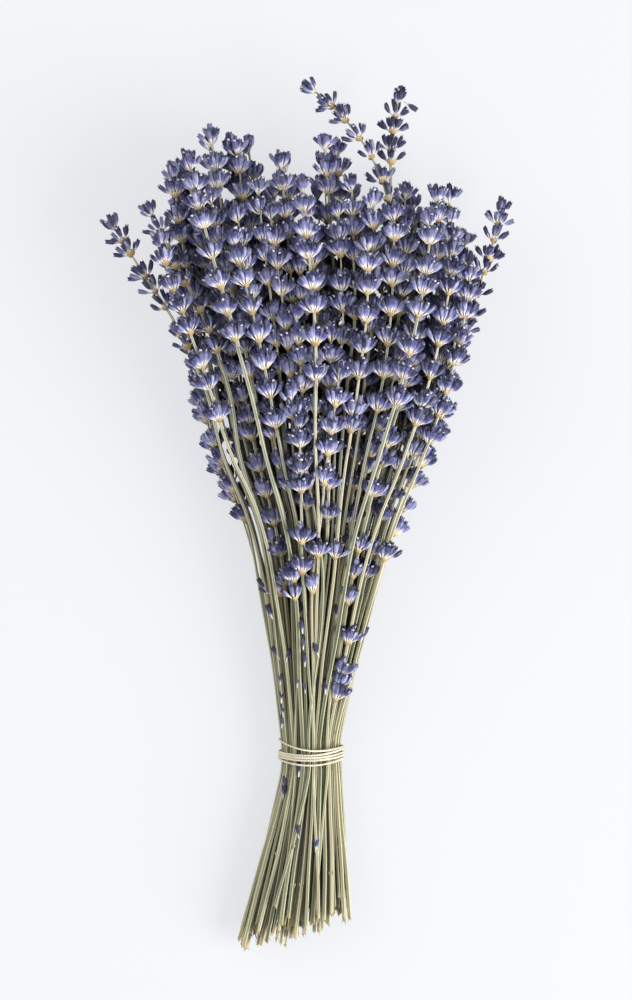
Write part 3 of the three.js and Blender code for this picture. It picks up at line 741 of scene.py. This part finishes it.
def addTube(solid, shape, tone, path, sectionAt):  # a path is a list of centres with their level and up
    for vert in addShape(solid, shape, tone):
        station = round(vert.co.z * (len(path) - 1))
        centre, level, up = path[station]
        x, y = sectionAt(station / (len(path) - 1), vert.co.x, vert.co.y)
        vert.co = centre + level * x + up * y


def finishPiece(name, solid, finishes, nodes):
    mesh = bpy.data.meshes.new(name)
    solid.to_mesh(mesh)
    solid.free()
    mesh.transform(toFrame)
    mesh.shade_smooth()
    for finish in finishes:
        mesh.materials.append(finish)
    piece = bpy.data.objects.new(name, mesh)
    bpy.context.scene.collection.objects.link(piece)
    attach(piece, "root")
    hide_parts(*nodes)
    return piece


def framed(foot, outward, direction):  # z runs in the direction and y faces outwards
    facing = (outward - direction * outward.dot(direction)).normalized()
    place = Matrix((facing.cross(direction), facing, direction)).transposed().to_4x4()
    place.translation = foot
    return place


def stemSection(number):
    half = stemLook["half"] * mix(0.78, 1.08, draw(number, 50)) * (1 if number < solidCount else stemLook["slim"])
    turn = math.pi / 4 + (draw(number, 51) - 0.5) * 0.8
    twist = (draw(number, 52) - 0.5) * 2 * stemLook["twist"]

    def at(share, x, y):
        angle = math.atan2(y, x)
        isCorner = round(angle / (math.pi / 6)) % 3 == 0
        radius = half * stemLook["corner" if isCorner else "groove"] * mix(1, stemLook["taper"], share)
        angle += turn + twist * share
        return radius * math.cos(angle), radius * math.sin(angle)

    return at


def stemPath(number, low, high, stations):
    phase = draw(number, 53) * 6
    path = []
    for k in range(stations):
        y = mix(low, high, k / (stations - 1))
        free = clamp((abs(y) - 14) / 30, 0, 1) * stemLook["wiggle"]
        level, up, along = crossways(number, y)
        centre = pointAt(number, y)
        centre += level * free * math.sin(y / 13 + phase) + up * free * math.sin(y / 17 + phase * 2)
        centre.z = max(centre.z, stemLook["lowest"])
        path.append((centre, level, up))
    return path


def addSplinters(solid, number, path):
    rng = random.Random(900 + number)
    centre, level, up = path[0]
    for k in range(rng.randint(*stemLook["splinters"])):
        away = Vector((rng.uniform(-1, 1), 0, rng.uniform(-1, 1)))
        direction = Vector((away.x * 0.3, -1, away.z * 0.12)).normalized()
        foot = centre + away * 0.6 + Vector((0, 0.6, 0))
        thick = rng.uniform(0.6, 1.3)
        size = Matrix.Diagonal((thick, thick, rng.uniform(*stemLook["splinterLength"]), 1))
        place = framed(foot, Vector((0, 0, 1)), direction) @ size
        if foot.z + direction.z * stemLook["splinterLength"][1] > 0.4:
            addAt(solid, splinter, rng.uniform(0.5, 1), place)


def makeStemPiece(layer):
    piece = startPiece()
    for stem in stems:
        if stem["layer"] == layer:
            solid = startPiece()
            number = stem["number"]
            path = stemPath(number, stem["cut"], stem["foot"], stemLook["stations"])
            centre, level, up = path[0]
            slant = [(draw(number, use) - 0.5) * 2 * stemLook["slant"] for use in (56, 57)]
            path[0] = (centre, level + Vector((0, slant[0], 0)), up + Vector((0, slant[1], 0)))
            addTube(solid, stemTube, draw(number, 55), path, stemSection(number))
            addSplinters(solid, number, path)
            merge(piece, solid, number, "stem")
    return finishPiece("dried_stems_" + str(layer + 1), piece, [cutStem], ["stems_" + str(layer + 1)])


spikeLook = {
    "outerWhorls": 7,
    "innerWhorls": 6,
    "calyxes": (5, 7),      # in the fan on each side of the stem
    "strayCalyxes": (3, 5),
    "strayPitch": 9.5,
    "addedPitch": 13,
    "straySize": 0.9,
    "spread": 60,           # degrees from the middle of the fan to its outermost calyx
    "tilt": (34, 16),       # and away from the stem, in the middle and at the sides of the fan
    "turn": 0.4,
    "topSize": 0.96,
    "apex": 10,
    "apexSize": (0.82, 1.0),
    "apexLean": (8, 58),
    "rachis": (0.85, 0.45),
    "stations": 14,
    "joinGap": 0.35,
    "whorlRatio": 0.92,
    "uneven": 0.44,         # of the distance between two whorls
    "budShare": 0.55,
    "slack": 1.8,
    "inset": 0.6,
    "footSpread": 1.3,
    "age": (0, 0.75),       # older calyxes are darker
    "strayAge": (1.0, 1.4),
    "straySpread": 82,
    "strayBract": 1.35,
    "petalShare": 0.3,
    "bractShare": 0.62,
}


def isOuter(stem):
    return math.hypot(stem["u"], stem["v"]) > 0.72 or stem["isStray"]


def whorlFeet(stem, whorls):
    foot, tip = stem["foot"], stem["tip"]
    lean = pointAt(stem["number"], foot + 1) - pointAt(stem["number"], foot)
    start = foot + spikeLook["joinGap"] + 1.05 * math.hypot(lean.x, lean.z)
    lengths = [spikeLook["whorlRatio"] ** whorl for whorl in range(whorls)]
    total = sum(lengths) + spikeLook["budShare"] * spikeLook["whorlRatio"] ** whorls
    placed = [start]
    for length in lengths:
        placed.append(placed[-1] + length / total * (tip - start))
    for whorl, length in enumerate(lengths):  # uneven, as grown
        shift = draw(stem["number"], 60 + whorl) - (0.5 if whorl else 0)
        placed[whorl] += shift * spikeLook["uneven"] * length / total * (tip - start)
    return placed


def reachAt(number, y, outward):  # how far a spike may reach before it meets a stem, a spike or the surface
    at = linesAt(y)
    gaps = at - at[number]
    apart = np.maximum(np.hypot(gaps[:, 0], gaps[:, 1]), 0.01)
    there = (tips + 3 > y) & (cuts < y)
    there[number] = False
    if number < solidCount:
        there[solidCount:] = False
    bareLimit = apart - 1.9
    limit = np.where(y > feet - 2, np.minimum(apart / 2, bareLimit), bareLimit)
    towards = (gaps @ np.array([outward.x, outward.z])) / apart
    facing = there & (towards > 0.1)
    reach = float((limit[facing] / towards[facing]).min()) if facing.any() else 20.0
    if outward.z < -0.05:
        reach = min(reach, (at[number, 1] - 1.3) / -outward.z - spikeLook["slack"])
    return max(reach, 0.4)


def addCalyx(solid, rng, stand, foot, direction, size):
    number, y, along, age = stand
    length = calyxLook["length"] * size
    lateral = direction - along * direction.dot(along)
    away = lateral.normalized()
    room = (reachAt(number, y + length * 0.6, away) + spikeLook["slack"] - spikeLook["inset"]) / length
    share = clamp(min(lateral.length, room), 0.03, 0.98)
    direction = along * math.sqrt(1 - share * share) + away * share
    if (foot + direction * length).z < 1.2:
        return
    place = framed(foot, -along, direction) @ Matrix.Scale(size, 4)
    kind = rng.randrange(len(calyxes))
    addAt(solid, calyxes[kind], rng.random() + age, place)
    if rng.random() < spikeLook["petalShare"]:
        mouth = Vector((0, -bendOf(kind) * 0.75, calyxLook["length"] * 1.02 + rng.uniform(-0.3, 0.3)))
        addAt(solid, petals[rng.randrange(len(petals))], rng.random(), place @ Matrix.Translation(mouth))


def addFan(solid, rng, stand, turn, size, count, bractShare):  # the calyxes on one side of a whorl, over their bract
    number, y, age = stand
    level, up, along = crossways(number, y)
    stand = (number, y, along, age)
    middle = pointAt(number, y)
    outward = level * math.cos(turn) + up * math.sin(turn)
    side = along.cross(outward)
    spread = spikeLook["straySpread" if stems[number]["isStray"] else "spread"]
    for k in range(count):
        across = mix(-1, 1, (k + 0.5) / count)
        swing = math.radians(spread * across + rng.uniform(-6, 6))
        tilt = math.radians(mix(*spikeLook["tilt"], abs(across)) + rng.uniform(-8, 8))
        direction = (along * math.cos(tilt) + outward * math.sin(tilt)) * math.cos(swing) + side * math.sin(swing)
        foot = middle + outward * spikeLook["inset"] + side * across * spikeLook["footSpread"]
        addCalyx(solid, rng, stand, foot, direction, size * rng.uniform(0.88, 1.08))
    for k in range(count // 3):
        swing = math.radians(rng.uniform(-38, 38))
        direction = (along * math.cos(0.2) + outward * math.sin(0.2)) * math.cos(swing) + side * math.sin(swing)
        foot = middle + outward * spikeLook["inset"] + along * 1.4
        addCalyx(solid, rng, stand, foot, direction, size * rng.uniform(0.88, 1.05))
    if rng.random() < bractShare:
        lean = rng.uniform(0.25, 0.5)
        size *= spikeLook["strayBract"] if stems[number]["isStray"] else 1
        direction = along * math.cos(lean) + outward * math.sin(lean)
        foot = middle + outward * 1.0 - along * 1.1
        if foot.z > 1.5:
            size *= rng.uniform(0.75, 1.3)
            addAt(solid, bract, rng.random(), framed(foot, outward, direction) @ Matrix.Scale(size, 4))


def addWhorl(solid, rng, stem, y, size, counts, age):
    turn = math.pi / 2 + rng.gauss(0, spikeLook["turn"])
    bractShare = 1 if stem["isStray"] else spikeLook["bractShare"]
    stand = (stem["number"], y, age + rng.uniform(-0.1, 0.1))
    addFan(solid, rng, stand, turn, size, rng.randint(*counts), bractShare)
    addFan(solid, rng, stand, turn + math.pi, size, rng.randint(*counts) - 1, bractShare)


def addSpike(solid, stem):
    number = stem["number"]
    rng = random.Random(500 + number)
    age = rng.uniform(*spikeLook["strayAge" if stem["isStray"] and number < solidCount else "age"])
    whorls = spikeLook["outerWhorls"] if isOuter(stem) else spikeLook["innerWhorls"]
    if stem["isStray"]:
        whorls = round((stem["tip"] - stem["foot"]) / spikeLook["strayPitch"])
    elif number >= solidCount:
        whorls = max(3, round((stem["tip"] - stem["foot"]) / spikeLook["addedPitch"]))
    placed = whorlFeet(stem, whorls)
    path = []
    for k in range(spikeLook["stations"]):
        y = mix(stem["foot"] - 0.5, stem["tip"] - 3, k / (spikeLook["stations"] - 1))
        level, up, along = crossways(number, y)
        path.append((pointAt(number, y), level, up))
    section = stemSection(number)
    width = [share / stemLook["half"] / stemLook["taper"] for share in spikeLook["rachis"]]
    addTube(solid, rachisTube, draw(number, 55), path, lambda share, x, y: [
        length * mix(*width, share) * stemLook["taper"] for length in section(0, x, y)])
    counts = spikeLook["strayCalyxes" if stem["isStray"] else "calyxes"]
    grown = spikeLook["straySize"] if stem["isStray"] else 1
    for whorl in range(whorls):
        size = mix(1, spikeLook["topSize"], (whorl / (whorls - 1)) ** 1.6) * grown
        addWhorl(solid, rng, stem, placed[whorl], size, counts, age)
    level, up, along = crossways(number, placed[-1])
    middle = pointAt(number, placed[-1]) - along
    for k in range(spikeLook["apex"]):
        turn = 2 * math.pi * k / spikeLook["apex"] + rng.uniform(-0.3, 0.3)
        outward = level * math.cos(turn) + up * math.sin(turn)
        lean = math.radians(rng.uniform(*spikeLook["apexLean"]))
        direction = along * math.cos(lean) + outward * math.sin(lean)
        foot = middle + outward * spikeLook["inset"] * 0.6 + along * k * 0.25
        addCalyx(solid, rng, (number, placed[-1], along, age), foot, direction,
                 rng.uniform(*spikeLook["apexSize"]) * grown)


def makeSpikePiece(node):
    solid = startPiece()
    for number in node.split("_")[1:]:
        spike = startPiece()
        addSpike(spike, stems[int(number)])
        merge(solid, spike, int(number), "spike")
    return finishPiece("dried_" + node, solid, [calyxFelt, bareStem, papery, withered], [node])


# single whorls low on the stems in front, caught calyxes and leaf stubs: where they are, in the bunch's millimetres
litter = {
    "whorls": [(-17, 98), (-4.6, 99), (22, 95), (33, 91), (4.6, 93), (10, 92), (-4.6, 85), (-7.4, 81), (-13.8, 74.5),
               (-9, 73), (-1, 76), (20, 83), (18.4, 70.5), (16.4, 52.5), (13.4, 37.5), (13.9, 32), (12.9, 26)],
    "calyxes": [(11.5, 67, 0), (-5, 67.6, 5), (-4.1, 60.3, -4), (-3.4, 52.6, 4), (-10.8, 46.5, 12), (-2.8, 44.6, 0),
                (2.3, 49.2, -22), (18.6, 58.6, 30), (18, 55, -12), (24.2, 56, 24), (13, 42.5, -40),
                (-14.2, 35.4, 0), (-6, 35, 8), (-3, 32, -6), (6.7, 32, 0),
                (-13.6, 27.4, 4), (-13.2, 21, -4), (-13.3, 15.5, 6), (-22.6, 79, -35), (-21.4, 76, -60),
                (-18.9, 66.5, -20), (-16.3, 47.4, -30), (-5.4, -6.2, 6), (-12.2, -13, -4), (-12.6, -17, 8),
                (-6, -35, -4), (2.3, -41, 3)],
    "stubs": [(-17.5, -46.9), (-9.2, -43.2), (13.8, -43.7), (-9.2, -61.2), (-4.1, -60.7), (-17, -35), (9, -56)],
    "hanging": [(45.6, 299.5, 32, 122)],   # off the spike on the right that stands out
    "sizes": (0.8, 1.0),
    "age": (2, 2.6),        # old calyxes have lost most of their pale foot
}


def stemOnTop(x, y):
    at = linesAt(y)
    bare = (cuts < y) & (feet > y + 2)
    near = bare & (abs(at[:, 0] - x) < 1.8)
    if near.any():
        return int(np.argmax(np.where(near, at[:, 1], -1)))
    return int(np.argmin(np.where(bare, abs(at[:, 0] - x), 1000)))


def makeLitter():
    solid = startPiece()
    rng = random.Random(77)
    for x, y in litter["whorls"]:
        addFan(solid, rng, (stemOnTop(x, y), y, 0.6), math.pi / 2, rng.uniform(0.92, 1.1), rng.randint(4, 6), 1)
    caught = [(x, y, linesAt(y)[stemOnTop(x, y), 1] + 0.9, degrees) for x, y, degrees in litter["calyxes"]]
    for x, y, z, degrees in caught + litter["hanging"]:
        turn = math.radians(degrees)
        direction = Vector((math.sin(turn), math.cos(turn), 0.06)).normalized()
        size = rng.uniform(*litter["sizes"])
        foot = Vector((x, y, z)) - direction * calyxLook["length"] * size / 2
        place = framed(foot, Vector((0, 0, 1)), direction) @ Matrix.Scale(size, 4)
        addAt(solid, calyxes[rng.randrange(len(calyxes))], rng.uniform(*litter["age"]), place)
    for x, y in litter["stubs"]:
        number = stemOnTop(x, y)
        level, up, along = crossways(number, y)
        for side in (-1, 1):
            outward = (level * side * 0.8 + up * 0.6).normalized()
            direction = (along * 0.9 + outward * 0.4).normalized()
            place = framed(pointAt(number, y) + outward * 0.7, outward, direction)
            addAt(solid, bract, rng.random(), place @ Matrix.Diagonal((0.28, 0.4, rng.uniform(0.6, 1), 1)))
    piece = startPiece()
    merge(piece, solid, None, "spike")
    return finishPiece("caught_calyxes", piece, [calyxFelt, bareStem, papery, withered], [])


raffiaLook = {
    "stops": [(0.26, "#8a7b60"), (0.4, "#c6bda5"), (0.62, "#dbd4c2")],
    "width": 0.8,
    "thickness": 0.62,
    "lowest": 0.32,         # of its middle over the surface
    "fibres": 5,            # the strand itself and the thin ones on it
    "thin": (0.15, 0.3),
    "loose": (0.2, 0.4),    # how far those stray, outside the band and in it
    "turns": [(-3.6, -1.5, -4.4, -2.0), (-2.1, -0.1, -2.2, -0.9), (-0.7, 1.2, -1.0, 0.3), (0.5, 2.9, 0.1, 1.5),
              (2.6, 3.9, 2.3, 7.0)],
    "lastTurnEnd": 3.8,
    "halfWidth": 15.02,
    "halfDepth": 11.57,
    "middleHeight": 11.825,
    "knotQuarter": 0.5,
    "stations": 161,
    "knot": {"turns": 3, "radius": 1.0, "low": -0.6, "high": 2.6, "out": 1.25, "ends": (-9, 11), "stray": 1.4,
             "stations": 41, "halfWidth": 0.38, "halfThickness": 0.28},
}


def raffiaHeight(quarter):
    quarters = [height for turn in raffiaLook["turns"] for height in turn] + [raffiaLook["lastTurnEnd"]]
    k = math.floor(quarter)
    t = quarter - k
    a, b, c, d = [quarters[int(clamp(k + step, 0, len(quarters) - 1))] for step in (-1, 0, 1, 2)]
    return (2 * b + (c - a) * t + (2 * a - 5 * b + 4 * c - d) * t * t + (3 * b - a - 3 * c + d) * t ** 3) / 2


def raffiaPoint(quarter, outward, shift):
    turn = (quarter - 1) * math.pi / 2
    wide, deep = raffiaLook["halfWidth"], raffiaLook["halfDepth"]
    out = Vector((math.cos(turn) * deep, 0, math.sin(turn) * wide)).normalized()
    middle = Vector((wide * math.cos(turn), raffiaHeight(quarter) + shift, raffiaLook["middleHeight"]
                     + deep * math.sin(turn)))
    return middle + out * outward, out


def knotPaths():  # the two ends along the stems, and the last turns round both
    knot = raffiaLook["knot"]
    first = -raffiaLook["knotQuarter"]
    last = len(raffiaLook["turns"]) * 4 - raffiaLook["knotQuarter"]
    middle, out = raffiaPoint(first, knot["out"], 0)
    sideways = out.cross(Vector((0, 1, 0)))
    paths = []
    for start, end, way in ((raffiaHeight(last), knot["ends"][0], -1), (raffiaHeight(first), knot["ends"][1], 1)):
        path = []
        for k in range(knot["stations"]):
            share = k / (knot["stations"] - 1)
            away = clamp(share * 4, 0, 1) * knot["out"] + way * 0.25
            centre, out = raffiaPoint(first, away, 0)
            centre.y = mix(start, end, share)
            centre += sideways * way * (0.3 * math.sin(share * 6) + knot["stray"] * share ** 3)
            path.append((centre, sideways * way, out))
        paths.append(path)
    coil = []
    for k in range(knot["stations"]):
        share = k / (knot["stations"] - 1)
        turn = share * knot["turns"] * 2 * math.pi
        around = sideways * math.cos(turn) + out * math.sin(turn)
        centre = Vector((middle.x, mix(knot["low"], knot["high"], share), middle.z)) + around * knot["radius"]
        coil.append((centre, Vector((0, 1, 0)), around))
    return paths + [coil]


def makeRaffia():
    solid = startPiece()
    rng = random.Random(7)
    first = -raffiaLook["knotQuarter"]
    last = len(raffiaLook["turns"]) * 4 - raffiaLook["knotQuarter"]
    strand = tubeShape("strand", 10, raffiaLook["stations"], 0)
    for fibre in range(raffiaLook["fibres"]):
        path = []
        phase = rng.uniform(0, 6)
        for k in range(raffiaLook["stations"]):
            quarter = mix(first, last, k / (raffiaLook["stations"] - 1))
            inBand = clamp(2.5 - abs(quarter / 4 - 2.5), 0, 1)
            stray = mix(*raffiaLook["loose"], inBand) if fibre else 0
            shift = stray * math.sin(quarter * (0.9 + fibre * 0.37) + phase)
            centre, out = raffiaPoint(quarter, 0.5 * stray * math.sin(quarter * 2.3 + phase), shift)
            centre.z = max(centre.z, raffiaLook["lowest"])
            path.append((centre, Vector((0, -1, 0)), out))
        wide, thick = raffiaLook["thin"] if fibre else (raffiaLook["width"] / 2, raffiaLook["thickness"] / 2)
        addTube(solid, strand, rng.random(), path, lambda share, x, y: (x * wide, y * thick))
    knot = raffiaLook["knot"]
    knotTube = tubeShape("knotStrand", 8, knot["stations"], 0)
    for path in knotPaths():
        addTube(solid, knotTube, rng.random(), path, lambda share, x, y: (
            x * knot["halfWidth"], y * knot["halfThickness"]))
    return finishPiece("raffia_tie", solid, [raffia], ["binding"])


print("making shapes")
calyxes = [calyxShape(kind) for kind in range(4)]
petals = [petalShape(kind) for kind in range(3)]
bract = bractShape()
splinter = splinterShape()
stemTube = tubeShape("stemTube", 12, stemLook["stations"], 0)
rachisTube = tubeShape("rachisTube", 12, spikeLook["stations"], 1)
calyxFelt = calyxFinish()
bareStem = stemFinish("driedStem", 0)
cutStem = stemFinish("driedCutStem", 0.012)
papery = bractFinish()
withered = petalFinish()
raffia = raffiaFinish()

print("making stems")
for layer in range(len(layout["layerCounts"])):
    makeStemPiece(layer)
print("making spikes")
for node in sorted(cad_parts):
    if node.startswith("spike"):
        makeSpikePiece(node)
solid = startPiece()
for stem in stems[solidCount:]:
    spike = startPiece()
    addSpike(spike, stem)
    merge(solid, spike, stem["number"], "spike")
    if stem is stems[-1] or len(solid.faces) > 50000:
        finishPiece("dried_spikes_between_" + str(stem["number"]), solid, [calyxFelt, bareStem, papery, withered],
                    [])
        solid = startPiece()
makeLitter()
print("making the tie")
makeRaffia()

studio = {
    "floor": (0.16, 0.162, 0.166, 1),
    "glow": (0.915, 0.93, 0.958, 1),
    "glowStrength": 0.7,
    "floorHalf": 4,
    "aim": (0.0029, 0.0092, 0.03),
    "distance": 1.6,
    "seen": 0.460,
    "sensor": 36,
    "sky": (0.97, 0.98, 1, 1),
    "world": 0.7,
    "lamps": [((1.6, -0.7, 1.1), 1.6, 80), ((-1.5, 0.6, 1.2), 1.6, 20)],
}


def makeFloor():
    solid = bmesh.new()
    bmesh.ops.create_grid(solid, x_segments=1, y_segments=1, size=studio["floorHalf"])
    mesh = bpy.data.meshes.new("floor")
    solid.to_mesh(mesh)
    solid.free()
    shader = Shader("paleFloor")
    mesh.materials.append(shader.close({
        "Base Color": studio["floor"], "Roughness": 0.9, "Specular IOR Level": 0.1,
        "Emission Color": studio["glow"], "Emission Strength": studio["glowStrength"]}))
    floor = bpy.data.objects.new("floor", mesh)
    bpy.context.scene.collection.objects.link(floor)


def makeCamera():
    lens = bpy.data.cameras.new("camera")
    lens.sensor_width = studio["sensor"]
    lens.lens = studio["sensor"] * studio["distance"] / studio["seen"]
    camera = bpy.data.objects.new("camera", lens)
    x, y, z = studio["aim"]
    camera.location = (x, y, z + studio["distance"])
    bpy.context.scene.collection.objects.link(camera)
    bpy.context.scene.camera = camera


def makeLight():
    for where, size, power in studio["lamps"]:
        glow = bpy.data.lights.new("lamp", "AREA")
        glow.shape, glow.size, glow.energy = "SQUARE", size, power
        lamp = bpy.data.objects.new("lamp", glow)
        lamp.location = where
        lamp.rotation_euler = (Vector(studio["aim"]) - lamp.location).to_track_quat("-Z", "Y").to_euler()
        bpy.context.scene.collection.objects.link(lamp)
    world = bpy.data.worlds.new("studio")
    world.use_nodes = True
    sky = world.node_tree.nodes["Background"]
    sky.inputs["Color"].default_value = studio["sky"]
    sky.inputs["Strength"].default_value = studio["world"]
    bpy.context.scene.world = world
    bpy.context.scene.view_settings.view_transform = "Standard"


makeFloor()
makeCamera()
makeLight()
print("done")
